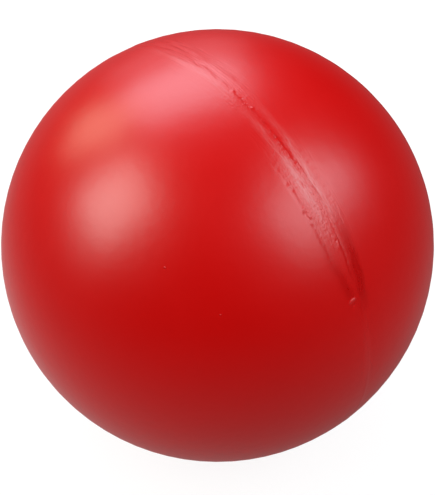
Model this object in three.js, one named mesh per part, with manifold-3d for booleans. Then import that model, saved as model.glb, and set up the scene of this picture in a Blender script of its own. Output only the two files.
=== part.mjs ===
import * as THREE from 'three';
import { mergeVertices } from 'three/addons/utils/BufferGeometryUtils.js';
import Module from 'manifold-3d';

// Herding ball: a hollow blow-moulded polyethylene ball with a hand-trimmed pinch-off seam
// and a screw plug. Origin at the ball's centre. The mould parts in the plane X = 0, the blown
// tube stood along Z, and the fill port is at the +X pole. Lengths in millimetres, angles in degrees.

// Ball
const ballDiameter = 254;
const wallThickness = 4.5;

// Seam: the weld's thickness, the arc that the pinched tube covers each side of the top and
// bottom, the knife-trimmed land beside it, and the bead that the pinch squeezes inwards
const seamThickness = 1.6;
const pinchHalfAngle = 64;
const landHalfWidth = 9;
const pinchRidgeRise = 0.25;
const pinchBeadRise = 2.5;
const pinchBeadHalfWidth = 8;
const partingRidgeRise = 0.15;
const seamEndGap = 0.3;

// Fill port, moulded inwards into the right half
const portBore = 25;
const portNeckLength = 13;
const portWall = 4;

// Plug and gasket
const plugHeadDiameter = 34;
const plugHeadThickness = 6.5;
const plugShankWall = 3;
const plugShankSetback = 1;
const plugEdgeChamfer = 0.6;
const slotLength = 20;
const slotWidth = 3;
const slotDepth = 3;
const gasketThickness = 1.5;

// Clearances of the plug in its port, radial
const headClearance = 0.5;
const threadClearance = 0.3;
const gasketClearance = 0.3;

// Facets
const ballSegments = 72;
const outerRings = 15;
const landRings = 2;
const innerRings = 10;
const beadRings = 4;
const plugSegments = 48;
const domeRings = 5;
const slotEndSegments = 8;
const mergeDistance = 1e-4;

const ballRadius = ballDiameter / 2;
const innerRadius = ballRadius - wallThickness;
const seamHalf = seamThickness / 2;

const red = { color: 0xc4161a, roughness: 0.38, metalness: 0 };
const trimmedRed = { color: 0xb81a1c, roughness: 0.55, metalness: 0 };
const blackRubber = { color: 0x18181a, roughness: 0.8, metalness: 0 };

const ball = new THREE.Group();

function addPiece(name, geometry, finish) {
  const mesh = new THREE.Mesh(geometry, new THREE.MeshStandardMaterial(finish));
  mesh.name = name;
  ball.add(mesh);
}

// Position-only copy of a geometry with its shared corners merged
function welded(geometry) {
  const bare = geometry.clone();
  bare.deleteAttribute('normal');
  bare.deleteAttribute('uv');
  return mergeVertices(bare, mergeDistance);
}

// Points on an arc about the origin, as [distance from the X axis, place along X]
function arcPoints(radius, fromX, toX, rings) {
  const start = Math.asin(fromX / radius);
  const end = Math.asin(toX / radius);
  return Array.from({ length: rings + 1 }, (_, i) => {
    const angle = start + (end - start) * (i / rings);
    return [radius * Math.cos(angle), radius * Math.sin(angle)];
  });
}

// Solid of revolution about the X axis. The angle about the axis runs from +Z towards -Y.
function revolve(profile, segments) {
  const points = profile.map(([fromAxis, alongX]) => new THREE.Vector2(Math.max(fromAxis, 0), alongX));
  return welded(new THREE.LatheGeometry(points, segments).rotateZ(-Math.PI / 2));
}

// Share of the full pinch at an angle along the seam: 1 over the top and bottom of the ball,
// running out to 0 where the flattened tube ended
function pinchShare(seamAngle) {
  const fromPole = Math.min(Math.abs(seamAngle), 180 - Math.abs(seamAngle));
  return 1 - Math.min(fromPole / pinchHalfAngle, 1) ** 4;
}

// The knife leaves a flat land across the seam: its distance from the X axis
function landRadius(seamAngle) {
  const halfWidth = landHalfWidth * pinchShare(seamAngle);
  return ballRadius * Math.cos(halfWidth / ballRadius);
}

// Inside of the wall at the seam, with the squeezed bead
function beadRadius(seamAngle) {
  return innerRadius - pinchBeadRise * pinchShare(seamAngle);
}

// Trims the land on a half shell, and swells the bead inside its rim
function shapeSeam(geometry) {
  const position = geometry.getAttribute('position');
  const midWall = (ballRadius + innerRadius) / 2;
  const point = new THREE.Vector3();
  for (let i = 0; i < position.count; i += 1) {
    point.fromBufferAttribute(position, i);
    const fromAxis = Math.hypot(point.y, point.z);
    const seamAngle = THREE.MathUtils.radToDeg(Math.atan2(-point.y, point.z));
    let shaped = Math.min(fromAxis, landRadius(seamAngle));
    const fromRim = Math.abs(point.x) - seamHalf;
    if (point.length() < midWall && fromRim < pinchBeadHalfWidth) {
      const swell = 0.5 + 0.5 * Math.cos((Math.PI * fromRim) / pinchBeadHalfWidth);
      shaped -= (innerRadius - beadRadius(seamAngle)) * swell;
    }
    if (fromAxis > 0) {
      position.setXYZ(i, point.x, (point.y * shaped) / fromAxis, (point.z * shaped) / fromAxis);
    }
  }
  return geometry;
}

// Outer skin of a half from the seam to a place along X, with rings at the edge of the land
function outerSkin(toX) {
  const land = arcPoints(ballRadius, seamHalf, seamHalf + landHalfWidth, landRings);
  const rest = arcPoints(ballRadius, seamHalf + landHalfWidth, toX, outerRings);
  return [...land, ...rest.slice(1)];
}

// Inner skin of a half from a place along X back to the seam, with rings across the bead
function innerSkin(fromX) {
  const rest = arcPoints(innerRadius, fromX, seamHalf + pinchBeadHalfWidth, innerRings);
  const bead = arcPoints(innerRadius, seamHalf + pinchBeadHalfWidth, seamHalf, beadRings);
  return [...rest, ...bead.slice(1)];
}

// Left half: a plain bowl
function leftHalfShell() {
  const profile = [...outerSkin(ballRadius), ...innerSkin(innerRadius)];
  const closed = [...profile, profile[0]];
  const mirrored = closed.map(([fromAxis, alongX]) => [fromAxis, -alongX]).reverse();
  return shapeSeam(revolve(mirrored, ballSegments));
}

// Places of the plug and its seat along X
const headEdgeX = Math.sqrt(ballRadius ** 2 - (plugHeadDiameter / 2) ** 2);
const headBackX = ballRadius - plugHeadThickness;
const seatX = headBackX - gasketThickness;
const neckEndX = seatX - portNeckLength;
const shankEndX = neckEndX + plugShankSetback;
const boreRadius = portBore / 2;
const headRadius = plugHeadDiameter / 2;
const shankRadius = boreRadius - threadClearance;
const recessRadius = headRadius + headClearance;

// Right half: a bowl with the recessed port in its pole, a cup for the head and a neck for the shank
function rightHalfShell() {
  const cupRadius = recessRadius + portWall;
  const neckRadius = boreRadius + portWall;
  const mouthX = Math.sqrt(ballRadius ** 2 - recessRadius ** 2);
  const cupRootX = Math.sqrt(innerRadius ** 2 - cupRadius ** 2);
  const port = [
    [recessRadius, seatX],
    [boreRadius, seatX],
    [boreRadius, neckEndX],
    [neckRadius, neckEndX],
    [neckRadius, seatX - portWall],
    [cupRadius, seatX - portWall],
  ];
  const profile = [...outerSkin(mouthX), ...port, ...innerSkin(cupRootX)];
  return shapeSeam(revolve([...profile, profile[0]], ballSegments));
}

addPiece('left_half_shell', leftHalfShell(), red);
addPiece('right_half_shell', rightHalfShell(), red);

// Strip between the rims of the two halves, lofted along an arc of the seam. Its section is a plate
// with its outer edge drawn in to a ridge: corners as [X, distance from the X axis].
function seamStrip(fromAngle, toAngle, innerEdge, outerEdge, ridgeRise) {
  const endGap = THREE.MathUtils.radToDeg(seamEndGap / ballRadius) / 2;
  const step = 360 / ballSegments;
  const angles = [fromAngle + endGap];
  for (let k = Math.floor(angles[0] / step) + 1; k * step < toAngle - endGap; k += 1) {
    angles.push(k * step);
  }
  angles.push(toAngle - endGap);

  const corners = [];
  for (const angle of angles) {
    const inner = innerEdge(angle);
    const outer = outerEdge(angle);
    const crest = outer + ridgeRise(angle);
    const section = [
      [-seamHalf, inner], [-seamHalf, outer], [-seamHalf / 2, crest],
      [seamHalf / 2, crest], [seamHalf, outer], [seamHalf, inner],
    ];
    const turn = THREE.MathUtils.degToRad(angle);
    for (const [x, fromAxis] of section) {
      corners.push(x, -fromAxis * Math.sin(turn), fromAxis * Math.cos(turn));
    }
  }

  const sides = corners.length / 3 / angles.length;
  const faces = [];
  for (let i = 0; i + 1 < angles.length; i += 1) {
    for (let j = 0; j < sides; j += 1) {
      const a = i * sides + j;
      const b = i * sides + ((j + 1) % sides);
      faces.push(a, a + sides, b, b, a + sides, b + sides);
    }
  }
  const last = (angles.length - 1) * sides;
  for (let j = 1; j + 1 < sides; j += 1) {
    faces.push(0, j, j + 1, last, last + j + 1, last + j);
  }

  const geometry = new THREE.BufferGeometry();
  geometry.setAttribute('position', new THREE.Float32BufferAttribute(corners, 3));
  geometry.setIndex(faces);
  return geometry;
}

// The two pinch-off welds, over the top and under the bottom
for (const [name, middle] of [['upper_pinch_weld', 0], ['lower_pinch_weld', 180]]) {
  const wrapped = (angle) => (angle > 180 ? angle - 360 : angle);
  const weld = seamStrip(
    middle - pinchHalfAngle,
    middle + pinchHalfAngle,
    (angle) => beadRadius(wrapped(angle)),
    (angle) => landRadius(wrapped(angle)),
    (angle) => pinchRidgeRise * pinchShare(wrapped(angle)),
  );
  addPiece(name, weld, trimmedRed);
}

// The mould line between the welds, in front and behind
for (const [name, middle] of [['front_parting_bead', 90], ['back_parting_bead', 270]]) {
  const halfAngle = 90 - pinchHalfAngle;
  const bead = seamStrip(
    middle - halfAngle,
    middle + halfAngle,
    () => innerRadius,
    () => ballRadius,
    () => partingRidgeRise,
  );
  addPiece(name, bead, red);
}

// Closed geometry to a solid that can be cut, and back
const wasm = await Module();
wasm.setup();

function toSolid(geometry) {
  const closed = welded(geometry);
  return new wasm.Manifold(new wasm.Mesh({
    numProp: 3,
    vertProperties: new Float32Array(closed.getAttribute('position').array),
    triVerts: new Uint32Array(closed.getIndex().array),
  }));
}

function toGeometry(solid) {
  const mesh = solid.getMesh();
  const geometry = new THREE.BufferGeometry();
  geometry.setAttribute('position', new THREE.Float32BufferAttribute(mesh.vertProperties, 3));
  geometry.setIndex(new THREE.Uint32BufferAttribute(mesh.triVerts, 1));
  return geometry;
}

// Plug: a head domed to carry on the ball's surface, a hollow shank, and a slot for a coin
function fillPlug() {
  const coreRadius = shankRadius - plugShankWall;
  const dome = arcPoints(ballRadius, headEdgeX, ballRadius, domeRings);
  const turned = revolve([
    [0, headBackX],
    [coreRadius, headBackX],
    [coreRadius, shankEndX],
    [shankRadius - plugEdgeChamfer, shankEndX],
    [shankRadius, shankEndX + plugEdgeChamfer],
    [shankRadius, headBackX],
    [headRadius, headBackX],
    [headRadius, headEdgeX - plugEdgeChamfer],
    [headRadius - plugEdgeChamfer, headEdgeX],
    ...dome.slice(1),
  ], plugSegments);

  const straight = slotLength / 2 - slotWidth / 2;
  const outline = new THREE.Shape();
  outline.absarc(straight, 0, slotWidth / 2, -Math.PI / 2, Math.PI / 2, false);
  outline.absarc(-straight, 0, slotWidth / 2, Math.PI / 2, (3 * Math.PI) / 2, false);
  const cutter = new THREE.ExtrudeGeometry(outline, {
    depth: slotDepth * 2,
    bevelEnabled: false,
    curveSegments: slotEndSegments,
  });
  cutter.rotateY(Math.PI / 2).translate(ballRadius - slotDepth, 0, 0);
  return toGeometry(toSolid(turned).subtract(toSolid(cutter)));
}

addPiece('fill_plug', fillPlug(), red);

// Gasket: a flat ring between the plug's head and the floor of the port's cup
function plugGasket() {
  const insideRadius = shankRadius + gasketClearance;
  const ring = [
    [insideRadius, seatX],
    [headRadius, seatX],
    [headRadius, headBackX],
    [insideRadius, headBackX],
  ];
  return revolve([...ring, ring[0]], plugSegments);
}

addPiece('plug_gasket', plugGasket(), blackRubber);

export default ball;
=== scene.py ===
import math

import bmesh
import bpy
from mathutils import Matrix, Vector, noise


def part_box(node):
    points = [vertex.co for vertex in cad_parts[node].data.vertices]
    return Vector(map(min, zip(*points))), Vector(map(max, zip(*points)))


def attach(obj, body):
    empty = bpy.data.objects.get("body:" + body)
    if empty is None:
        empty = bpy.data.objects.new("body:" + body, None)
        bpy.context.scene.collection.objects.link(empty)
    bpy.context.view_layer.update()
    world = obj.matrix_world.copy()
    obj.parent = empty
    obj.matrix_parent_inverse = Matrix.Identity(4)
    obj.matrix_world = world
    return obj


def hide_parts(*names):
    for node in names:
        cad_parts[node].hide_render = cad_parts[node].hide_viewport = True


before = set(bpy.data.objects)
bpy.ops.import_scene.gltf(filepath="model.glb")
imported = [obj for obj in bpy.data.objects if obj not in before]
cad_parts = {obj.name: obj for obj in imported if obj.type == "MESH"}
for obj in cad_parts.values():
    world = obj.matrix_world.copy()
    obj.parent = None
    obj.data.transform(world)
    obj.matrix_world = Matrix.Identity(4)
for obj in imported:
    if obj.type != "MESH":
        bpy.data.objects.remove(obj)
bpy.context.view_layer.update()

# Skin of the ball. The shell is blown from one tube of red polyethylene. The mould's two halves pinch
# the tube's ends flat, and the flash that this leaves is trimmed off by hand with a knife, so a scraped
# land with chattered edges runs over the top of the ball, and another one underneath.
millimetre = 0.001
ball_radius = -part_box("left_half_shell")[0][0]
seam_half = -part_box("left_half_shell")[1][0]

# Lines along the seam. Each point is a place in degrees from the weld's middle, then a value there:
# millimetres across the seam, right positive, for edges, lines and rails, millimetres for rises, depths and
# widths, and a share for the rest
pinched_share = ((-68, 0), (-60, 1), (62, 1), (68, 0))
parted_share = ((60, 0), (68, 1))
parting_line_wear = ((65, 0), (82, 0.09))
left_edge = ((-67, -1), (-58, -8.5), (-30, -7.5), (-10, -5.2), (2, -5.8), (7, -8.2), (11, -7.6),
             (15, -6), (31, -9.2), (52, -9.4), (57, -7.8), (61, -5.2), (67, -1))
right_edge = ((-67, 1), (-58, 7), (-30, 8), (-5, 6.5), (20, 6.8), (40, 8.2), (52, 7.4), (56, 5.8),
              (67, 1.4))
land_flatness = ((-67, 1), (-40, 1), (-18, 0), (8, 0), (16, 1), (67, 1))
ridge_rise = ((-67, 0), (-40, 0), (-20, 0.25), (-13, 0.34), (0, 0.3), (7, 0.22), (13, 0.06), (17, 0))
shoulder_rise = ((-40, 0), (-20, 0.14), (-12, 0.2), (-4, 0.22), (1, 0.2), (5, 0.12), (11, 0))
strand_rise = ((-55, 0), (-35, 0.36), (-17, 0.36), (-7, 0))
weld_line = ((-67, 0), (-20, 0.6), (-13, 0.7), (-10, 0.4), (-6.5, -1), (-5.3, 0.8), (-2, 0.2), (0, -0.4),
             (1.5, 0.5), (5, 0.4), (12, 0.2), (20, 0.1), (25, 0.2), (33, 0.5), (40, 0.8), (47, 0.3),
             (51, 0.2), (56, -0.6), (67, 0))
weld_waver = ((28, 1), (33, 0.3))
weld_step = ((-67, 1), (8, 1), (18, 1.7), (28, 1.3), (33, 0.8), (67, 0.8))
weld_valley = ((-67, 0), (5, 0), (10, 0.1), (18, 0.16), (28, 0.22), (32, 0.05), (44, 0.02), (58, 0))
weld_lip_rise = ((8, 0), (16, 0.06), (28, 0.06), (32, 0))
worn_depth = ((-67, 0), (-30, 0.04), (-14, 0.12), (-8, 0.18), (0, 0.17), (6, 0.1), (13, 0))
dash_share = ((-14, 0), (-12, 1), (-7.4, 1), (-6.4, 0), (-5.4, 0), (-4.6, 1), (-0.8, 1), (0.4, 0), (1, 0),
              (2, 0.6), (4, 0.2), (6, 0.8), (12, 0.6))
groove_depth = ((4, 0), (8, 0.05), (12, 0.09), (18, 0.1), (24, 0.19), (29, 0.17), (31, 0.02), (41, 0.03),
                (46, 0.12), (54, 0.13), (60, 0))
groove_width = ((22, 0.9), (29, 1), (33, 0.6))
second_depth = ((27, 0), (30, 0.1), (35, 0.18), (41, 0.16), (44, 0))
facet_rise = ((33, 0), (38, 0.12), (44, 0.26), (52, 0.3), (59, 0.22), (67, 0))
left_rut_line = ((24, -9.2), (30, -10), (39, -9.9), (43, -8.7), (52, -8.7), (57, -7))
left_rut_depth = ((22, 0), (26, 0.04), (30, 0.09), (33, 0.21), (39, 0.24), (44, 0.19), (49, 0.11), (55, 0))
left_rut_inner_width = ((40, 1.2), (44, 2.1))
right_rut_depth = ((24, 0), (31, 0.03), (37, 0.04), (41, 0))
rut_blotches = ((40, 0.9), (44, 0.5))
left_tear = ((29, 0), (33, 0.2), (41, 0.2), (47, 0))
right_tear = ((27, 0), (31, 0.28), (38, 0.28), (43, 0))
inner_tear = ((37, 0), (41, 0.3), (45, 0.3), (49, 0))
weld_tear = ((4, 0), (10, 0.7), (22, 0.7), (29, 0))
pebble_share = ((3, 0.2), (7, 0.9), (11, 0.9), (15, 0.4), (27, 0.4), (33, 1.2), (40, 1.2), (43, 0.6),
                (44, 0.6), (50, 0.2))
fibre_rise = ((-67, 0), (-20, 0.05), (5, 0.06), (13, 0.05), (24, 0.1), (41, 0.1), (48, 0.05), (58, 0.015),
              (64, 0))
left_rail = ((-40, -4), (12, -3.6), (22, -3.5), (28, -3.3), (33, -3), (40, -3.6), (67, -3.6))
left_rail_width = ((28, 2), (32, 2.9), (36, 2.9), (40, 2))
# Whitening of the scraped rails: the paler red of scraped plastic, and a painted sheen that is strongest
# where the front highlight falls
left_whitening_and_sheen = ((-40, 0), (-8, 0.2), (0, 0.3), (5, 0.3), (9, 0.1), (12, 0.2), (16, 0.36), (23, 0.42),
                  (31, 1.1), (35, 1.1), (39, 0.8), (44, 0.2), (50, 0))
right_rail = ((-40, 4), (10, 4.8), (22, 4.8), (27, 3.8), (33, 3), (67, 3))
right_whitening_and_sheen = ((-40, 0), (2, 0), (10, 0.05), (16, 0.2), (26, 0.55), (33, 1), (40, 0.7), (44, 0))
# Gloss of the cuts, which also blends in a deeper red that paints shade where the cuts and grooves lean
# away from the light
band_line = ((38, 5), (50, 4.9), (57, 4), (62, 2.8), (67, 1.6))
band_gloss_and_shade = ((40, 0), (45, 0.2), (49, 0.42), (54, 0.58), (61, 0.55), (65, 0.3), (68, 0))
left_gloss_line = ((38, -9.2), (52, -8.6), (57, -6.4), (61, -5), (66, -2))
left_gloss_and_shade = ((38, 0), (43, 0.15), (50, 0.22), (56, 0.4), (60, 0.52), (65, 0))
weld_gloss_and_shade = ((45, 0), (50, 0.4), (56, 0.4), (61, 0))
groove_gloss_and_shade = ((6, 0), (9, 0.2), (25, 0.2), (29, 0))

# Sizes of the other marks and their places across the seam, in millimetres, right positive
land_reach = 12.2
land_fade = 1.5
land_edge_outer = 0.5
land_edge_inner = 1
ridge_reach = 11.2
ridge_crest = -2.4
shoulder_left = (-6.8, -2.8)
shoulder_right = (2.5, 8.5)
strand_start = (-8, -3)
valley_start = -5.5
lip_fade = (1.2, 5)
worn_fade = (1.2, 5.5)
second_groove_place = 1
second_groove_width = 0.5
facet_crest = 1.5
facet_end = 9.2
chatter_pitch = 2.8
pit_depth = 0.22
left_rut_outer_width = 1.2
right_rut_width = 1.7
right_rut_inset = 0.6
inner_tear_place = -3.5
inner_tear_width = 2.2
weld_tear_width = 1.1
pebble_rise = 0.08
pebble_fade = (0.5, 3)
fibre_reach = 4
parting_line_rise = 0.13
parting_line_width = 1.1
worn_line_place = -0.9
worn_line_width = 1.6
right_rail_width = 1.8
band_left = (-4.2, -1.2)
band_right = (0.8, 4.2)
left_gloss_width = 2.5
weld_gloss_width = 1
groove_gloss_width = 0.9

# Pips, pits and burrs on the land: degrees along, millimetres across, half length, half width and rise,
# then how far they are torn, 0 to 1
knife_marks = (
    (5.7, -0.2, 0.9, 0.8, 0.26, 0),
    (12.0, 0.9, 0.9, 0.8, 0.28, 0),
    (48.0, -1.2, 0.7, 0.6, -0.16, 0),
    (49.6, -1.4, 1.4, 0.8, 0.12, 0),
    (63.0, -6.1, 0.65, 0.85, 0.24, 0.8),
    (62.7, -4.9, 0.65, 0.95, 0.36, 1),
    (62.7, -3.4, 0.65, 0.95, 0.38, 1),
    (64.2, -3.9, 0.7, 1.0, -0.2, 0),
)


def eased(points, place):
    """Value at a place on a line of (place, value) points, eased from each point to the next."""
    for (start, low), (end, high) in zip(points, points[1:]):
        if place <= end:
            share = min(max((place - start) / (end - start), 0), 1)
            return low + (high - low) * share * share * (3 - 2 * share)
    return points[-1][1]


def ramp(start, end, place):
    """0 before start, 1 after end, eased between."""
    return eased(((start, 0), (end, 1)), place)


def hump(offset, half_width):
    """Rounded rise of 1 at no offset."""
    return math.exp(-((offset / half_width) ** 2))


def arc_length(angle):
    """Millimetres along the seam from the weld's middle."""
    return math.radians(angle) * ball_radius / millimetre


def uneven(along, pitch, seed):
    """Drift between -1 and 1 along the seam, with about this many millimetres from swing to swing."""
    return noise.noise(Vector((along / pitch, seed, 0)))


def pits(along, across, seed):
    """Depth of the pits that the chattering knife tore, 0 to 1: scattered, but closest at its rhythm."""
    rhythm = 0.15 * math.cos(2 * math.pi * (along / chatter_pitch + 0.8 * uneven(along, 8, seed)))
    spread = noise.noise(Vector((along / 2.1, across / 1.7, seed))) + rhythm
    return ramp(-0.2, 0.5, spread)


def fibres(along, across, seed):
    """Fine streaks that run with the seam, -1 to 1."""
    coarse = noise.noise(Vector((along / 7, across / 0.9, seed)))
    return coarse + 0.6 * noise.noise(Vector((along / 2.6, across / 0.6, seed + 1)))


def seam_relief(angle, across):
    """Height of the skin above the true ball in mm, then how pale the knife's scraping left it, partly a
    painted sheen, 0 to 1, and how far it was cut smooth, darkened with painted shade, from less than 0
    where it is torn up to 1."""
    under = abs(angle) > 90
    if under:
        angle = math.copysign(180, angle) - angle
        across = -across
    seed = 40 if under else 0
    along = arc_length(angle)
    height = parting_line_rise * eased(parted_share, abs(angle)) * hump(across, parting_line_width)
    line_wear = eased(parting_line_wear, abs(angle)) * hump(across - worn_line_place, worn_line_width)
    pinched = eased(pinched_share, angle)
    if pinched == 0:
        return height, line_wear, 0
    reached = 1 - ramp(land_reach - land_fade, land_reach, abs(across))

    # The land, cut flat, or left with a low ridge, a shoulder and strands where the knife only skimmed it
    left, right = eased(left_edge, angle), eased(right_edge, angle)
    if left < across < right:
        flat = (across - left) * (right - across) / 2 / (ball_radius / millimetre)
        height -= flat * eased(land_flatness, angle)
    on_land = ramp(left - land_edge_outer, left + land_edge_inner, across)
    on_land *= 1 - ramp(right - land_edge_inner, right + land_edge_outer, across)
    flank = (across - ridge_crest) / (ridge_reach + math.copysign(ridge_crest, across - ridge_crest) * 0.9)
    height += eased(ridge_rise, angle) * max(1 - math.hypot(flank, 0.07), 0)
    height += eased(shoulder_rise, angle) * (ramp(*shoulder_left, across) - ramp(*shoulder_right, across))
    strand = noise.noise(Vector((along / 14 + across / 9, across / 3, seed + 60)))
    height += eased(strand_rise, angle) * ramp(*strand_start, across) * strand * reached

    # The weld's line: a valley, a step up to a lip, and a broken groove with a second one beside it
    wander = 0.5 * uneven(along, 5, seed + 11) + 0.25 * uneven(along, 1.8, seed + 12)
    offset = across - eased(weld_line, angle) - wander * eased(weld_waver, angle)
    broken = min(max(0.9 + uneven(along, 3, seed + 13), 0.35), 1.4)
    step = eased(weld_step, angle)
    climb = ramp(-step, step, offset)
    valley = ramp(valley_start, -step, offset) * (1 - climb)
    lip = climb * (1 - ramp(*lip_fade, offset - step))
    height += pinched * eased(weld_lip_rise, angle) * lip - eased(weld_valley, angle) * valley
    gentle = 3.2 - 2.2 * eased(dash_share, angle)
    worn = ramp(-gentle, 0.9 * gentle, offset) * (1 - ramp(*worn_fade, offset))
    groove = eased(worn_depth, angle) * worn
    groove += eased(groove_depth, angle) * broken * hump(offset, eased(groove_width, angle))
    second = eased(second_depth, angle) * hump(offset - second_groove_place, second_groove_width)
    height -= pinched * (groove + second)

    # The last cut of the knife, a wide facet that leans to the right
    facet = ramp(left, facet_crest, across) - ramp(facet_crest, facet_end, across)
    height += pinched * eased(facet_rise, angle) * facet

    # Ruts along the land's edges, and the rows that the knife tore
    ragged = 0.6 * uneven(along, 3, seed + 14)
    from_rut = across - eased(left_rut_line, angle) - ragged
    left_rut_width = eased(left_rut_inner_width, angle) if from_rut > 0 else left_rut_outer_width
    left_rut = hump(from_rut, left_rut_width) * reached
    right_rut = hump(across - right + right_rut_inset + ragged, right_rut_width)
    blotched = 0.8 + eased(rut_blotches, angle) * uneven(along, 2.6, seed + 16)
    ruts = eased(left_rut_depth, angle) * left_rut + eased(right_rut_depth, angle) * right_rut
    height -= pinched * blotched * ruts
    torn = eased(left_tear, angle) * left_rut + eased(right_tear, angle) * right_rut
    torn += eased(inner_tear, angle) * hump(across - inner_tear_place, inner_tear_width)
    torn += eased(weld_tear, angle) * hump(offset, weld_tear_width)
    if torn > 0.02:
        height -= pit_depth * pinched * torn * pits(along, across, seed + 1)

    # Pebbled and fibrous plastic, most of it left of the weld and near it
    pebble = noise.noise(Vector((along / 1.1, across / 0.9, seed + 20)))
    sided = 1 - 0.5 * ramp(*pebble_fade, across)
    height += pebble_rise * pebble * on_land * eased(pebble_share, angle) * sided
    streak = fibres(along, across, seed + 50)
    height += eased(fibre_rise, angle) * streak * reached * (0.35 + 0.65 * hump(offset, fibre_reach))

    torn_mark = 0
    for mark_angle, mark_across, half_length, half_width, rise, tear in knife_marks:
        mark_along = along - arc_length(mark_angle)
        if abs(mark_along) < 3 * half_length:
            mark = hump(mark_along, half_length) * hump(across - mark_across, half_width)
            height += rise * mark
            torn_mark = max(torn_mark, tear * mark)

    # Scraped rails, paler than the skin and partly a painted sheen, then the cuts that the knife left
    # smooth, with painted shade
    from_left_rail = across - eased(left_rail, angle)
    rails = eased(left_whitening_and_sheen, angle) * hump(from_left_rail, eased(left_rail_width, angle))
    rails += eased(right_whitening_and_sheen, angle) * hump(across - eased(right_rail, angle), right_rail_width)
    patchy = 0.75 + 0.9 * streak
    # Paleness of the scraping, partly a painted sheen where the highlight falls on the rails
    whitened_and_sheen = min(max(rails * patchy * pinched + line_wear + 0.1 * torn_mark, 0), 1)
    # Where the knife cut smooth: glossier, and a deeper red that is painted shade
    from_band = across - eased(band_line, angle) + 0.5 * uneven(along, 6, seed + 15)
    smoothed_and_shaded = eased(band_gloss_and_shade, angle) * ramp(*band_left, from_band) * (1 - ramp(*band_right, from_band))
    smoothed_and_shaded += eased(left_gloss_and_shade, angle) * hump(across - eased(left_gloss_line, angle), left_gloss_width)
    smoothed_and_shaded += eased(weld_gloss_and_shade, angle) * hump(offset, weld_gloss_width)
    smoothed_and_shaded += eased(groove_gloss_and_shade, angle) * hump(offset, groove_gloss_width) * max(broken - 0.5, 0)
    smoothed_and_shaded = min(max(smoothed_and_shaded * (1 + 0.2 * streak), 0), 1)
    return height, whitened_and_sheen, smoothed_and_shaded * (1 - torn_mark) - 1.5 * torn_mark


def seam_angle(point):
    """Degrees along the seam from the top of the ball towards its front."""
    return math.degrees(math.atan2(-point.y, point.z))


def draw_on_to_ball(piece):
    """Draws the rings of a drum about X in to the ball, with the seam's relief and the knife's marks."""
    # Paleness of the scraping, with a painted sheen
    whitening_and_sheen = piece.data.attributes.new("whitened_and_sheen", "FLOAT", "POINT")
    # Smoothness of the cuts, with a painted shade of deeper red
    smoothing_and_shading = piece.data.attributes.new("smoothed_and_shaded", "FLOAT", "POINT")
    for vertex in piece.data.vertices:
        along_x, from_axis = vertex.co.x, math.hypot(vertex.co.y, vertex.co.z)
        if from_axis < millimetre:
            vertex.co.x = math.copysign(ball_radius, along_x)
        if from_axis < ball_radius - millimetre:
            continue
        shrink = math.sqrt(ball_radius ** 2 - along_x ** 2) / from_axis
        point = Vector((along_x, vertex.co.y * shrink, vertex.co.z * shrink))
        across = ball_radius * math.asin(along_x / ball_radius) / millimetre
        height = whitened_and_sheen = smoothed_and_shaded = 0
        if abs(across) < land_reach:
            height, whitened_and_sheen, smoothed_and_shaded = seam_relief(seam_angle(point), across)
        vertex.co = point * (1 + height * millimetre / ball_radius)
        whitening_and_sheen.data[vertex.index].value = whitened_and_sheen
        smoothing_and_shading.data[vertex.index].value = smoothed_and_shaded


def only_select(piece, kind, wanted):
    """In edit mode, selects just the faces, edges or verts for which wanted is true."""
    bpy.ops.mesh.select_mode(type={"faces": "FACE", "edges": "EDGE", "verts": "VERT"}[kind])
    bpy.ops.mesh.select_all(action="DESELECT")
    shape = bmesh.from_edit_mesh(piece.data)
    for element in getattr(shape, kind):
        element.select_set(wanted(element))
    shape.select_flush_mode()
    bmesh.update_edit_mesh(piece.data)


def add_drum(segments, radius, start, end, ends="NOTHING"):
    """Adds a drum about X between two places, as a new object or inside the one in edit mode."""
    bpy.ops.mesh.primitive_cylinder_add(
        vertices=segments, radius=radius, depth=abs(end - start), end_fill_type=ends,
        location=((start + end) / 2, 0, 0), rotation=(0, math.radians(90), 0))


def ring_cuts(places):
    """In edit mode, cuts all that isn't hidden into rings at places along X."""
    for place in places:
        bpy.ops.mesh.select_all(action="SELECT")
        bpy.ops.mesh.bisect(plane_co=(place, 0, 0), plane_no=(1, 0, 0))


def new_piece(name):
    """Names the object just added, and moves its place into its mesh."""
    piece = bpy.context.object
    piece.name = piece.data.name = name
    bpy.ops.object.transform_apply(location=True, rotation=True, scale=True)
    return piece


# Half shells. Each half is one mould cavity's share of the blown wall, 4.5 mm thick, and stands with its
# flat rim against the seam. Inside the rim the pinch has squeezed a bead of plastic inwards.
wall_thickness = 4.5 * millimetre
inner_radius = ball_radius - wall_thickness
bead_rise = 2.5 * millimetre
bead_half_width = 8 * millimetre
bead_rings = 4
pinch_half_angle = 64
worked_half_angle = 70
fine_from = -25
skin_segments = 720
inner_segments = 144
land_rings = 13
land_ring_width = 0.88 * millimetre
skin_ring_angle = 4
inner_ring_angle = 7.5
pole_ring_angle = 2
inner_pole_ring_angle = 4
smooth_angle = math.radians(35)


def pinch_share(angle):
    """Share of the full pinch at an angle along the seam, 1 at the welds' middles and 0 past their ends."""
    angle = abs((angle + 180) % 360 - 180)
    from_middle = min(angle, 180 - angle)
    return 1 - min(from_middle / pinch_half_angle, 1) ** 4


def draw_on_to_inside(piece):
    """Draws the rings of the inner drum in to the wall's inside, with the bead that the pinch squeezed."""
    for vertex in piece.data.vertices:
        along_x, from_axis = vertex.co.x, math.hypot(vertex.co.y, vertex.co.z)
        if abs(from_axis - inner_radius) < 0.01 * millimetre:
            drawn = math.sqrt(inner_radius ** 2 - along_x ** 2)
            from_rim = min((abs(along_x) - seam_half) / bead_half_width, 1)
            swell = 0.5 + 0.5 * math.cos(math.pi * from_rim)
            drawn -= bead_rise * swell * pinch_share(seam_angle(vertex.co))
            vertex.co.y *= drawn / from_axis
            vertex.co.z *= drawn / from_axis
        elif from_axis < millimetre and abs(along_x) < inner_radius:
            vertex.co.x = math.copysign(inner_radius, along_x)


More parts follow.
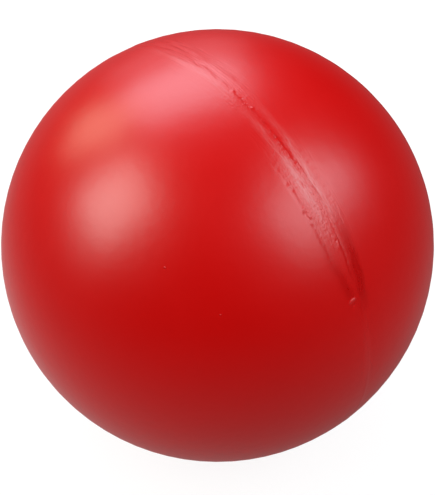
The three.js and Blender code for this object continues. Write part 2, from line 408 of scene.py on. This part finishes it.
def arc_places(radius, start, end, step_angle):
    """Places along X of rings on a ball of this radius, a step of angle apart, between two places."""
    first, last = (math.degrees(math.asin(place / radius)) for place in (start, end))
    count = max(round((last - first) / step_angle), 1)
    return [radius * math.sin(math.radians(first + (last - first) * k / count)) for k in range(1, count)]


def half_shell(name, side, skin_end, inner_end, ends):
    """A bowl with its rim at the seam, left in edit mode. Side is -1 for left and 1 for right."""
    bpy.ops.object.select_all(action="DESELECT")
    add_drum(skin_segments, ball_radius, side * seam_half, side * skin_end, ends)
    shell = new_piece(name)
    land_end = seam_half + land_rings * land_ring_width
    bpy.ops.object.mode_set(mode="EDIT")
    only_select(shell, "faces", lambda face: face.normal.x * side < -0.5)
    bpy.ops.mesh.delete(type="FACE")
    ring_cuts([side * (seam_half + k * land_ring_width) for k in range(1, land_rings + 1)])
    ring_cuts([side * place for place in arc_places(ball_radius, land_end, skin_end, skin_ring_angle)])

    def on_land(face):
        middle = face.calc_center_median()
        from_top = abs(seam_angle(middle))
        return abs(middle.x) < land_end and min(from_top, 180 - from_top) < worked_half_angle

    def on_upper_land(face):
        return on_land(face) and fine_from < seam_angle(face.calc_center_median()) < worked_half_angle

    for wanted in (on_land, on_upper_land):
        only_select(shell, "faces", wanted)
        bpy.ops.mesh.subdivide(number_cuts=1)
    bpy.ops.object.mode_set(mode="OBJECT")
    draw_on_to_ball(shell)

    bead_end = seam_half + bead_half_width
    bpy.ops.object.mode_set(mode="EDIT")
    bpy.ops.mesh.select_all(action="SELECT")
    bpy.ops.mesh.hide()
    add_drum(inner_segments, inner_radius, side * seam_half, side * inner_end, ends)
    bpy.ops.mesh.flip_normals()
    only_select(shell, "faces",
                lambda face: face.normal.x * side > 0.5 and abs(face.verts[0].co.x) < bead_end)
    bpy.ops.mesh.delete(type="FACE")
    ring_cuts([side * (seam_half + bead_half_width * k / bead_rings) for k in range(1, bead_rings + 1)])
    ring_cuts([side * place for place in arc_places(inner_radius, bead_end, inner_end, inner_ring_angle)])
    bpy.ops.object.mode_set(mode="OBJECT")
    draw_on_to_inside(shell)

    bpy.ops.object.mode_set(mode="EDIT")
    bpy.ops.mesh.reveal(select=False)
    only_select(shell, "edges", lambda edge: edge.is_boundary and abs(edge.verts[0].co.x) < 2 * seam_half)
    bpy.ops.mesh.bridge_edge_loops()
    return shell


def finish_piece(piece, material, body, slot, *nodes):
    """Back to object mode, smooth but for the hard edges, with its finish, its body and its nodes."""
    if bpy.context.mode != "OBJECT":
        bpy.ops.object.mode_set(mode="OBJECT")
    bpy.ops.object.select_all(action="DESELECT")
    piece.select_set(True)
    bpy.context.view_layer.objects.active = piece
    bpy.ops.object.shade_smooth_by_angle(angle=smooth_angle)
    piece.data.materials.clear()
    piece.data.materials.append(material)
    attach(piece, body)
    if nodes:
        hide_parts(*nodes)


def moulded_skin():
    """Node group for blown polyethylene: a fine orange peel, and the cloudy drift of colour and gloss."""
    group = bpy.data.node_groups.new("moulded_skin", "ShaderNodeTree")
    group.interface.new_socket("Peel Scale", in_out="INPUT", socket_type="NodeSocketFloat")
    group.interface.new_socket("Cloud Scale", in_out="INPUT", socket_type="NodeSocketFloat")
    for output in ("Height", "Cloud", "Grain"):
        group.interface.new_socket(output, in_out="OUTPUT", socket_type="NodeSocketFloat")
    nodes, links = group.nodes, group.links
    inside, outside = nodes.new("NodeGroupInput"), nodes.new("NodeGroupOutput")
    place = nodes.new("ShaderNodeTexCoord")

    def cloud(detail, roughness):
        texture = nodes.new("ShaderNodeTexNoise")
        texture.inputs["Detail"].default_value = detail
        texture.inputs["Roughness"].default_value = roughness
        links.new(place.outputs["Object"], texture.inputs["Vector"])
        return texture

    peel, drift, grain = cloud(2, 0.5), cloud(4, 0.6), cloud(1, 0.5)
    links.new(inside.outputs["Peel Scale"], peel.inputs["Scale"])
    links.new(inside.outputs["Cloud Scale"], drift.inputs["Scale"])
    grain_fineness = 5
    grain_scale = nodes.new("ShaderNodeMath")
    grain_scale.operation = "MULTIPLY"
    grain_scale.inputs[1].default_value = grain_fineness
    links.new(inside.outputs["Peel Scale"], grain_scale.inputs[0])
    links.new(grain_scale.outputs[0], grain.inputs["Scale"])
    links.new(peel.outputs["Fac"], outside.inputs["Height"])
    links.new(drift.outputs["Fac"], outside.inputs["Cloud"])
    links.new(grain.outputs["Fac"], outside.inputs["Grain"])
    return group


# Finish of the red plastic: its clear and its cloudy red, the paler red that scraping leaves, which also
# paints a sheen, and the deeper one of a clean cut, which also paints shade, then its roughness and the
# scales of its grain
clear_red = (0.45, 0.0013, 0.0010)
cloudy_red = (0.48, 0.0020, 0.0016)
scraped_and_sheen_red = (0.50, 0.100, 0.102)
cut_red_and_shade = (0.37, 0.0014, 0.0013)
cut_shade_gain = 1.7
skin_roughness = 0.32
cloud_roughness = 0.06
scraped_roughness = 0.03
cut_roughness = -0.15
peel_scale = 200
cloud_scale = 28
stroke_scale = (900, 70, 70)
stroke_base = 0.45
peel_depth = 0.08 * millimetre
grain_share = 0.15
stroke_share = 0.2


def red_polyethylene(name, scraped_share):
    """Glossy red skin: paler with a painted sheen where its marks show scraping, glossier and deeper red
    with painted shade where cut.
    """
    material = bpy.data.materials.new(name)
    material.use_nodes = True
    nodes, links = material.node_tree.nodes, material.node_tree.links
    shader = nodes["Principled BSDF"]
    shader.inputs["Specular IOR Level"].default_value = 1.0
    skin = nodes.new("ShaderNodeGroup")
    skin.node_tree = moulded_skin_group
    skin.inputs["Peel Scale"].default_value = peel_scale
    skin.inputs["Cloud Scale"].default_value = cloud_scale

    def math_node(operation, first, second):
        node = nodes.new("ShaderNodeMath")
        node.operation = operation
        for socket, value in zip(node.inputs, (first, second)):
            if isinstance(value, (int, float)):
                socket.default_value = value
            else:
                links.new(value, socket)
        return node.outputs[0]

    def blend(share, first, second):
        node = nodes.new("ShaderNodeMix")
        node.data_type = "RGBA"
        links.new(share, node.inputs["Factor"])
        for socket, value in ((node.inputs["A"], first), (node.inputs["B"], second)):
            if isinstance(value, tuple):
                socket.default_value = (*value, 1)
            else:
                links.new(value, socket)
        return node.outputs["Result"]

    def piece_mark(mark):
        node = nodes.new("ShaderNodeAttribute")
        node.attribute_name = mark
        return node.outputs["Fac"]

    whitened_and_sheen, smoothed_and_shaded = piece_mark("whitened_and_sheen"), piece_mark("smoothed_and_shaded")
    place = nodes.new("ShaderNodeTexCoord")
    along_seam = nodes.new("ShaderNodeMapping")
    along_seam.inputs["Scale"].default_value = stroke_scale
    links.new(place.outputs["Object"], along_seam.inputs["Vector"])
    strokes = nodes.new("ShaderNodeTexNoise")
    strokes.inputs["Scale"].default_value = 1
    strokes.inputs["Detail"].default_value = 3
    links.new(along_seam.outputs["Vector"], strokes.inputs["Vector"])

    # The scraping's paler red, part of it a painted sheen
    share = math_node("MULTIPLY", whitened_and_sheen, scraped_share)
    patchy = math_node("MULTIPLY", share, math_node("ADD", strokes.outputs["Fac"], stroke_base))
    clouded = blend(skin.outputs["Cloud"], clear_red, cloudy_red)
    scraped_and_sheen = blend(patchy, clouded, scraped_and_sheen_red)
    # The cut's deeper red, painted shade on faces that lean away from the light
    cut_shade_share = math_node("MULTIPLY", smoothed_and_shaded, cut_shade_gain)
    links.new(blend(cut_shade_share, scraped_and_sheen, cut_red_and_shade), shader.inputs["Base Color"])

    cloud_dull = math_node("MULTIPLY", skin.outputs["Cloud"], cloud_roughness)
    dull = math_node("ADD", cloud_dull, math_node("MULTIPLY", patchy, scraped_roughness))
    cut_gloss = math_node("MULTIPLY", smoothed_and_shaded, cut_roughness)
    roughness = math_node("ADD", math_node("ADD", dull, skin_roughness), cut_gloss)
    links.new(roughness, shader.inputs["Roughness"])

    grain = math_node("MULTIPLY", skin.outputs["Grain"], grain_share)
    stroke = math_node("MULTIPLY", math_node("MULTIPLY", strokes.outputs["Fac"], share), stroke_share)
    bump = nodes.new("ShaderNodeBump")
    bump.inputs["Strength"].default_value = 1
    bump.inputs["Distance"].default_value = peel_depth
    height = math_node("ADD", math_node("ADD", skin.outputs["Height"], grain), stroke)
    links.new(height, bump.inputs["Height"])
    links.new(bump.outputs["Normal"], shader.inputs["Normal"])
    return material


moulded_skin_group = moulded_skin()
shell_red = red_polyethylene("moulded_red", 1)

left_half = half_shell("left_half", -1, ball_radius * math.cos(math.radians(pole_ring_angle)),
                       inner_radius * math.cos(math.radians(inner_pole_ring_angle)), "TRIFAN")

# Pips on the left half, where grit lay in the mould
pip_radius = 0.75 * millimetre
pip_rise = 0.28 * millimetre
for direction, size in (((-0.611, -0.43, 0.665), 1), ((-0.526, -0.662, 0.534), 0.8)):
    pip_middle = Vector(direction).normalized() * (ball_radius + (pip_rise - pip_radius) * size)
    bpy.ops.mesh.primitive_uv_sphere_add(segments=16, ring_count=8, radius=pip_radius * size,
                                         location=pip_middle)
finish_piece(left_half, shell_red, "ball", "shell_red", "left_half_shell")

# Right half and its fill port. The port is moulded inwards at the pole of the right half: a cup that
# takes the plug's head flush with the ball, and a threaded neck for its shank.
gasket_low, gasket_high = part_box("plug_gasket")
seat_place = gasket_low[0]
head_radius = gasket_high[1]
recess_radius = head_radius + 0.5 * millimetre
bore_radius = 12.5 * millimetre
port_wall = 4 * millimetre
neck_length = 13 * millimetre
neck_end = seat_place - neck_length
port_edge_softness = 0.5 * millimetre
mouth_place = math.sqrt(ball_radius ** 2 - recess_radius ** 2)
cup_radius = recess_radius + port_wall
cup_root = math.sqrt(inner_radius ** 2 - cup_radius ** 2)


def ring_size():
    """Place along X and radius of the ring of points that is selected."""
    shape = bmesh.from_edit_mesh(bpy.context.object.data)
    points = [vertex.co for vertex in shape.verts if vertex.select]
    place = sum(point.x for point in points) / len(points)
    return place, sum(math.hypot(point.y, point.z) for point in points) / len(points)


def turn_rings(rings):
    """Extrudes the selected ring from one (place along X, radius) to the next, as a turned profile."""
    for place, radius in rings:
        here, around = ring_size()
        bpy.ops.mesh.extrude_region_move(TRANSFORM_OT_translate={"value": (place - here, 0, 0)})
        scale = radius / around
        bpy.ops.transform.resize(value=(1, scale, scale), center_override=(place, 0, 0))


def soften_rings(piece, rings, width):
    """Bevels the turned edges at these (place along X, radius) rings."""
    def on_ring(point, place, radius):
        off_ring = math.hypot(point.x - place, math.hypot(point.y, point.z) - radius)
        return off_ring < 0.01 * millimetre

    def to_soften(edge):
        return any(all(on_ring(vertex.co, *ring) for vertex in edge.verts) for ring in rings)

    only_select(piece, "edges", to_soften)
    bpy.ops.mesh.bevel(offset=width, segments=3, affect="EDGES")


right_half = half_shell("right_half", 1, mouth_place, cup_root, "NOTHING")
only_select(right_half, "edges",
            lambda edge: edge.is_boundary and edge.verts[0].co.x > cup_root + millimetre)
turn_rings(((seat_place, recess_radius), (seat_place, bore_radius), (neck_end, bore_radius),
            (neck_end, bore_radius + port_wall), (seat_place - port_wall, bore_radius + port_wall),
            (seat_place - port_wall, cup_radius)))
only_select(right_half, "edges", lambda edge: edge.is_boundary)
bpy.ops.mesh.bridge_edge_loops()
soften_rings(right_half, ((mouth_place, recess_radius), (seat_place, bore_radius), (neck_end, bore_radius),
                          (neck_end, bore_radius + port_wall)), port_edge_softness)
finish_piece(right_half, shell_red, "ball", "shell_red", "right_half_shell")

# Seam between the halves. Over the top and bottom the pinched tube is welded shut and trimmed by knife.
# In front and behind, where the tube was not pinched, the mould leaves a fine raised parting line.
strip_segments = 2880
strip_rings = 8
strip_end_gap = math.degrees(0.03 * millimetre / ball_radius)
trimmed_red = red_polyethylene("trimmed_red", 1)


def seam_strip(name, middle, half_angle):
    """Strip between the rims of the two halves along an arc of the seam, as thick as the wall."""
    bpy.ops.object.select_all(action="DESELECT")
    add_drum(strip_segments, ball_radius, -seam_half, seam_half)
    strip = new_piece(name)
    bpy.ops.object.mode_set(mode="EDIT")
    ring_cuts([seam_half * (2 * k / strip_rings - 1) for k in range(1, strip_rings)])
    for end, side in ((middle - half_angle + strip_end_gap, -1), (middle + half_angle - strip_end_gap, 1)):
        turn = math.radians(end)
        outwards = (0, -side * math.cos(turn), -side * math.sin(turn))
        bpy.ops.mesh.select_all(action="SELECT")
        bpy.ops.mesh.bisect(plane_co=(0, 0, 0), plane_no=outwards, clear_outer=True)
    bpy.ops.object.mode_set(mode="OBJECT")
    wall = strip.modifiers.new("wall", "SOLIDIFY")
    wall.thickness = wall_thickness
    wall.offset = -1
    bpy.ops.object.modifier_apply(modifier="wall")
    draw_on_to_ball(strip)
    for vertex in strip.data.vertices:
        from_axis = math.hypot(vertex.co.y, vertex.co.z)
        if from_axis < ball_radius - wall_thickness / 2:
            drawn = inner_radius - bead_rise * pinch_share(seam_angle(vertex.co))
            vertex.co.y *= drawn / from_axis
            vertex.co.z *= drawn / from_axis
    return strip


bead_half_angle = 90 - pinch_half_angle
for name, node, middle, half_angle, finish, slot in (
        ("upper_weld", "upper_pinch_weld", 0, pinch_half_angle, trimmed_red, "trimmed_seam_red"),
        ("lower_weld", "lower_pinch_weld", 180, pinch_half_angle, trimmed_red, "trimmed_seam_red"),
        ("front_bead", "front_parting_bead", 90, bead_half_angle, shell_red, "shell_red"),
        ("back_bead", "back_parting_bead", 270, bead_half_angle, shell_red, "shell_red")):
    finish_piece(seam_strip(name, middle, half_angle), finish, "ball", slot, node)

# Threads of the port and the plug. A coarse right-hand thread, one turn in 4 mm, is moulded inside the
# port's neck and round the plug's shank, with room between their flanks.
thread_pitch = 4 * millimetre
thread_steps = 48
thread_lead_steps = 14
thread_base_half = 1.1 * millimetre
thread_crest_half = 0.5 * millimetre
thread_sink = 0.05 * millimetre
thread_end_share = 0.05
shank_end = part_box("fill_plug")[0][0]
shank_root_radius = 11 * millimetre
shank_crest_radius = 12.2 * millimetre
port_crest_radius = 11.4 * millimetre
plug_thread_start = shank_end + 1.6 * millimetre
plug_thread_turns = 2
port_thread_start = plug_thread_start + thread_pitch / 2
port_thread_turns = 1.6


def thread_ridge(name, base_radius, crest_radius, start, turns):
    """A ridge that winds up X to the right, running out at both ends."""
    bpy.ops.object.select_all(action="DESELECT")
    bpy.ops.mesh.primitive_plane_add(size=millimetre)
    ridge = new_piece(name)
    section = ((-thread_base_half, base_radius), (thread_base_half, base_radius),
               (-thread_crest_half, crest_radius), (thread_crest_half, crest_radius))
    for vertex, (along, radius) in zip(ridge.data.vertices, section):
        vertex.co = (start + along, radius, 0)
    bpy.ops.object.mode_set(mode="EDIT")
    bpy.ops.mesh.select_all(action="SELECT")
    bpy.ops.mesh.delete(type="ONLY_FACE")
    bpy.ops.object.mode_set(mode="OBJECT")
    sweep = ridge.modifiers.new("sweep", "SCREW")
    sweep.axis = "X"
    sweep.angle = 2 * math.pi * turns
    sweep.screw_offset = thread_pitch * turns
    sweep.steps = sweep.render_steps = round(thread_steps * turns)
    bpy.ops.object.modifier_apply(modifier="sweep")
    last_step = len(ridge.data.vertices) // len(section) - 1
    for vertex in ridge.data.vertices:
        step = vertex.index // len(section)
        share = ramp(0, thread_lead_steps, min(step, last_step - step))
        radius = math.hypot(vertex.co.y, vertex.co.z)
        rise = thread_end_share + (1 - thread_end_share) * share
        drawn = (base_radius + (radius - base_radius) * rise) / radius
        vertex.co.y *= drawn
        vertex.co.z *= drawn
    bpy.ops.object.mode_set(mode="EDIT")
    bpy.ops.mesh.select_all(action="SELECT")
    bpy.ops.mesh.fill_holes(sides=len(section))
    bpy.ops.mesh.normals_make_consistent(inside=False)
    return ridge


port_thread = thread_ridge("port_thread", bore_radius + thread_sink, port_crest_radius,
                           port_thread_start, port_thread_turns)
finish_piece(port_thread, shell_red, "ball", "shell_red")

# Fill plug. Injection-moulded in the same red plastic: a head domed to carry on the ball's surface, with
# a slot for a coin, and a hollow shank that screws into the port.
plug_segments = 96
head_back = gasket_high[0]
core_radius = 9.2 * millimetre
head_chamfer = 0.6 * millimetre
head_edge = math.sqrt(ball_radius ** 2 - head_radius ** 2)
dome_radii = [head_radius * share for share in (0.92, 0.8, 0.66, 0.52, 0.38, 0.24, 0.1)]
slot_length = 20 * millimetre
slot_width = 3 * millimetre
slot_depth = 3 * millimetre
edge_softness = 0.25 * millimetre
softened_from = math.radians(40)
plug_red = red_polyethylene("plug_plastic", 0)


def dome_place(radius):
    """Place along X of the ball's surface at this radius from the port's axis."""
    return math.sqrt(ball_radius ** 2 - radius ** 2)


bpy.ops.object.select_all(action="DESELECT")
bpy.ops.mesh.primitive_circle_add(vertices=plug_segments, radius=core_radius, fill_type="TRIFAN",
                                  location=(head_back, 0, 0), rotation=(0, math.radians(90), 0))
plug = new_piece("plug")
bpy.ops.object.mode_set(mode="EDIT")
only_select(plug, "edges", lambda edge: edge.is_boundary)
turn_rings([(shank_end, core_radius), (shank_end, shank_root_radius), (head_back, shank_root_radius),
            (head_back, head_radius), (head_edge - head_chamfer, head_radius),
            (dome_place(head_radius - head_chamfer), head_radius - head_chamfer)]
           + [(dome_place(radius), radius) for radius in dome_radii])
bpy.ops.mesh.extrude_region_move()
bpy.ops.mesh.merge(type="CENTER")
bpy.ops.mesh.select_all(action="SELECT")
bpy.ops.mesh.normals_make_consistent(inside=False)
bpy.ops.object.mode_set(mode="OBJECT")

bpy.ops.object.select_all(action="DESELECT")
bpy.ops.mesh.primitive_cylinder_add(vertices=32, radius=slot_width / 2, depth=2 * slot_depth,
                                    location=(ball_radius, 0, 0), rotation=(0, math.radians(90), 0))
slot_cutter = new_piece("slot_cutter")
for vertex in slot_cutter.data.vertices:
    vertex.co.z += math.copysign(slot_length / 2 - slot_width / 2, vertex.co.z - 1e-7)
slot_cut = plug.modifiers.new("slot", "BOOLEAN")
slot_cut.operation = "DIFFERENCE"
slot_cut.object = slot_cutter
bpy.context.view_layer.objects.active = plug
bpy.ops.object.modifier_apply(modifier="slot")
bpy.data.objects.remove(slot_cutter)
softened = plug.modifiers.new("softened", "BEVEL")
softened.width = edge_softness
softened.segments = 2
softened.limit_method = "ANGLE"
softened.angle_limit = softened_from
bpy.ops.object.modifier_apply(modifier="softened")
finish_piece(plug, plug_red, "plug", "plug_red", "fill_plug")
plug_thread = thread_ridge("plug_thread", shank_root_radius - thread_sink, shank_crest_radius,
                           plug_thread_start, plug_thread_turns)
finish_piece(plug_thread, plug_red, "plug", "plug_red")

# Gasket. A flat ring stamped from black rubber sheet, slipped over the shank under the plug's head and
# squeezed on to the floor of the cup.
gasket_inner_radius = 12.5 * millimetre
gasket_softness = 0.3 * millimetre
rubber_black = (0.009, 0.009, 0.010)
bloom_grey = (0.020, 0.020, 0.021)
rubber_roughness = 0.62
bloom_roughness = 0.82
rubber_grain_scale = 1400
bloom_scale = 160
rubber_grain_depth = 0.03 * millimetre
bpy.ops.object.select_all(action="DESELECT")
bpy.ops.mesh.primitive_circle_add(vertices=plug_segments, radius=gasket_inner_radius, fill_type="NOTHING",
                                  location=(seat_place, 0, 0), rotation=(0, math.radians(90), 0))
gasket = new_piece("gasket")
bpy.ops.object.mode_set(mode="EDIT")
bpy.ops.mesh.select_all(action="SELECT")
turn_rings([(seat_place, head_radius), (head_back, head_radius), (head_back, gasket_inner_radius)])
only_select(gasket, "edges", lambda edge: edge.is_boundary)
bpy.ops.mesh.bridge_edge_loops()
bpy.ops.mesh.select_all(action="SELECT")
bpy.ops.mesh.normals_make_consistent(inside=False)
soften_rings(gasket, ((seat_place, head_radius), (head_back, head_radius),
                      (seat_place, gasket_inner_radius), (head_back, gasket_inner_radius)), gasket_softness)

gasket_black = bpy.data.materials.new("gasket_rubber")
gasket_black.use_nodes = True
nodes, links = gasket_black.node_tree.nodes, gasket_black.node_tree.links
rubber = nodes["Principled BSDF"]
rubber.inputs["Specular IOR Level"].default_value = 0.4
rubber_skin = nodes.new("ShaderNodeGroup")
rubber_skin.node_tree = moulded_skin_group
rubber_skin.inputs["Peel Scale"].default_value = rubber_grain_scale
rubber_skin.inputs["Cloud Scale"].default_value = bloom_scale
bloom = nodes.new("ShaderNodeMix")
bloom.data_type = "RGBA"
bloom.inputs["A"].default_value = (*rubber_black, 1)
bloom.inputs["B"].default_value = (*bloom_grey, 1)
links.new(rubber_skin.outputs["Cloud"], bloom.inputs["Factor"])
links.new(bloom.outputs["Result"], rubber.inputs["Base Color"])
rubber_gloss = nodes.new("ShaderNodeMapRange")
rubber_gloss.inputs["To Min"].default_value = rubber_roughness
rubber_gloss.inputs["To Max"].default_value = bloom_roughness
links.new(rubber_skin.outputs["Cloud"], rubber_gloss.inputs["Value"])
links.new(rubber_gloss.outputs["Result"], rubber.inputs["Roughness"])
rubber_grain = nodes.new("ShaderNodeBump")
rubber_grain.inputs["Distance"].default_value = rubber_grain_depth
links.new(rubber_skin.outputs["Height"], rubber_grain.inputs["Height"])
links.new(rubber_grain.outputs["Normal"], rubber.inputs["Normal"])
finish_piece(gasket, gasket_black, "gasket", "gasket_black", "plug_gasket")

# Floor and backdrop. A pale sheet under the ball, bright enough to photograph as white. The ball stands
# on it on the lower weld, and the sheet keeps the ball's faint shadow. In the ball's gloss the sheet is
# dimmer, apart from painted pools of light on it, a glow that only the gloss sees.
floor_size = 12
floor_level = -ball_radius - 0.48 * millimetre
floor_grey = 0.16
mirrored_floor_grey = 0.025
lit_sheet_glow = 0.86
paling_start = 0.6
paling_end = 1.4
sky_glossy = 0.004

# Painted pools of light on the sheet, seen only in the ball's gloss: place, strength and softness. The
# sheet pales away from the last one.
painted_light_pools = (
    ((0.2, -0.11), 0.0006, 0.006),
    ((0.1, 0.95), 0.0125, 0.09),
    ((-0.045, 0.13), 0.0162, 0.0216),
)


def mixed(nodes, links, share, first, second):
    """Number that goes from the first to the second with the share, each a number or a socket."""
    node = nodes.new("ShaderNodeMix")
    links.new(share, node.inputs["Factor"])
    for socket, value in ((node.inputs["A"], first), (node.inputs["B"], second)):
        if isinstance(value, (int, float)):
            socket.default_value = value
        else:
            links.new(value, socket)
    return node.outputs["Result"]


def seen_strength(nodes, links, camera_value, glossy_value):
    """Strength for camera and transmission rays, then for glossy rays, and 0 for the rest."""
    path = nodes.new("ShaderNodeLightPath")
    seen = nodes.new("ShaderNodeMath")
    seen.operation = "MAXIMUM"
    links.new(path.outputs["Is Camera Ray"], seen.inputs[0])
    links.new(path.outputs["Is Transmission Ray"], seen.inputs[1])
    glossy = mixed(nodes, links, path.outputs["Is Glossy Ray"], 0.0, glossy_value)
    return mixed(nodes, links, seen.outputs[0], glossy, camera_value)


bpy.ops.object.select_all(action="DESELECT")
bpy.ops.mesh.primitive_plane_add(size=floor_size, location=(0, 0, floor_level))
floor = new_piece("floor")
floor.visible_shadow = False
floor_sheet = bpy.data.materials.new("floor_sheet")
floor_sheet.use_nodes = True
floor_sheet.cycles.emission_sampling = "NONE"
nodes, links = floor_sheet.node_tree.nodes, floor_sheet.node_tree.links
nodes.remove(nodes["Principled BSDF"])
paper = nodes.new("ShaderNodeBsdfDiffuse")
floor_path = nodes.new("ShaderNodeLightPath")
links.new(mixed(nodes, links, floor_path.outputs["Is Camera Ray"], mirrored_floor_grey, floor_grey),
          paper.inputs["Color"])
floor_place = nodes.new("ShaderNodeTexCoord")
# Painted light: each pool adds a glow that only glossy rays see
painted_pool_glow = None
for (across_floor, along_floor), strength, softness in painted_light_pools:
    from_pool = nodes.new("ShaderNodeVectorMath")
    from_pool.operation = "DISTANCE"
    from_pool.inputs[1].default_value = (across_floor, along_floor, floor_level)
    links.new(floor_place.outputs["Object"], from_pool.inputs[0])
    spread = nodes.new("ShaderNodeMath")
    spread.operation = "MULTIPLY_ADD"
    spread.inputs[2].default_value = softness
    for socket in spread.inputs[:2]:
        links.new(from_pool.outputs["Value"], socket)
    pool = nodes.new("ShaderNodeMath")
    pool.operation = "DIVIDE"
    pool.inputs[0].default_value = strength
    links.new(spread.outputs[0], pool.inputs[1])
    if painted_pool_glow:
        both_pools = nodes.new("ShaderNodeMath")
        links.new(painted_pool_glow, both_pools.inputs[0])
        links.new(pool.outputs[0], both_pools.inputs[1])
        painted_pool_glow = both_pools.outputs[0]
    else:
        painted_pool_glow = pool.outputs[0]
paling = nodes.new("ShaderNodeMapRange")
paling.inputs["From Min"].default_value = paling_start
paling.inputs["From Max"].default_value = paling_end
paling.inputs["To Min"].default_value = lit_sheet_glow
links.new(from_pool.outputs["Value"], paling.inputs["Value"])
glow = nodes.new("ShaderNodeEmission")
links.new(seen_strength(nodes, links, paling.outputs["Result"], painted_pool_glow), glow.inputs["Strength"])
both = nodes.new("ShaderNodeAddShader")
links.new(paper.outputs[0], both.inputs[0])
links.new(glow.outputs[0], both.inputs[1])
links.new(both.outputs[0], nodes["Material Output"].inputs["Surface"])
floor.data.materials.append(floor_sheet)

world = bpy.data.worlds.new("studio")
bpy.context.scene.world = world
world.use_nodes = True
world.cycles.sampling_method = "NONE"
nodes, links = world.node_tree.nodes, world.node_tree.links
links.new(seen_strength(nodes, links, 1.0, sky_glossy), nodes["Background"].inputs["Strength"])
nodes["Background"].inputs["Color"].default_value = (1, 1, 1, 1)

# Softboxes. They stand round the ball and above it: the strongest on the left with a dim one below it, a
# wide one with two smaller ones below it in front on the right, and behind the ball a wide one, a warm one
# and a dim, low one.
softbox_distance = 1.2


def towards(bearing, elevation):
    """Direction to a place: bearing from the front towards the right, then elevation, in degrees."""
    turn, rise = math.radians(bearing), math.radians(elevation)
    return Vector((math.sin(turn) * math.cos(rise), -math.cos(turn) * math.cos(rise), math.sin(rise)))


def aim(name, data, bearing, elevation, distance):
    """A lamp or a camera at this place, turned to the ball."""
    aimed = bpy.data.objects.new(name, data)
    bpy.context.collection.objects.link(aimed)
    aimed.location = towards(bearing, elevation) * distance
    aimed.rotation_euler = towards(bearing, elevation).to_track_quat("Z", "Y").to_euler()
    return aimed


for name, bearing, elevation, width, height, radiance, tint in (
        ("left_softbox", -118, 40, 0.60, 0.68, 4.3, (1.02, 1, 0.93)),
        ("side_softbox", -113, 17, 0.36, 0.34, 0.32, (1.02, 1, 0.93)),
        ("front_softbox", 36, 48, 0.90, 0.50, 2.7, (0.99, 1, 1.05)),
        ("low_softbox", 57, 33, 0.45, 0.33, 1.4, (0.97, 1, 1.12)),
        ("near_softbox", 19, 32, 0.32, 0.32, 1.1, (1, 1, 1)),
        ("back_softbox", 157, 46, 0.90, 0.68, 3.05, (0.97, 1, 1.13)),
        ("warm_softbox", -165, 29, 0.40, 0.60, 2.35, (1.10, 1, 0.74)),
        ("backdrop_softbox", 153, 14, 0.80, 0.45, 0.45, (0.97, 1, 1.08))):
    lamp = bpy.data.lights.new(name, "AREA")
    lamp.shape = "RECTANGLE"
    lamp.size = width
    lamp.size_y = height
    lamp.color = tint
    lamp.energy = radiance * width * height * math.pi
    aim(name, lamp, bearing, elevation, softbox_distance)

# Room light. The ceiling and the walls throw dim light on to the ball from above, and the pale sheet from
# below, most of that from under the left softbox. It evens out the shade on the ball but is too dim to show
# in its gloss.
for name, bearing, elevation, radiance, spread in (
        ("ceiling_light", 0, 85, 0.967, 180),
        ("sheet_light", 180, -85, 0.12, 180),
        ("bounce_light", -105, -55, 0.37, 40)):
    lamp = bpy.data.lights.new(name, "SUN")
    lamp.angle = math.radians(spread)
    lamp.energy = radiance * math.pi
    lamp.cycles.use_multiple_importance_sampling = False
    aim(name, lamp, bearing, elevation, softbox_distance).visible_glossy = False

# Camera, above the ball's front left, at arm's length
camera_bearing = -39.2
camera_elevation = 47.7
camera_distance = 5.1 * ball_radius
picture_height = 495
picture_focal = 1082.7
ball_above_middle = 2.03
sensor_height = 36
camera_data = bpy.data.cameras.new("camera")
camera_data.sensor_fit = "VERTICAL"
camera_data.sensor_height = sensor_height
camera_data.lens = picture_focal / picture_height * sensor_height
camera_data.shift_y = -ball_above_middle / picture_height
camera_data.clip_start = 0.01
bpy.context.scene.camera = aim("camera", camera_data, camera_bearing, camera_elevation, camera_distance)
bpy.context.scene.view_settings.view_transform = "Standard"
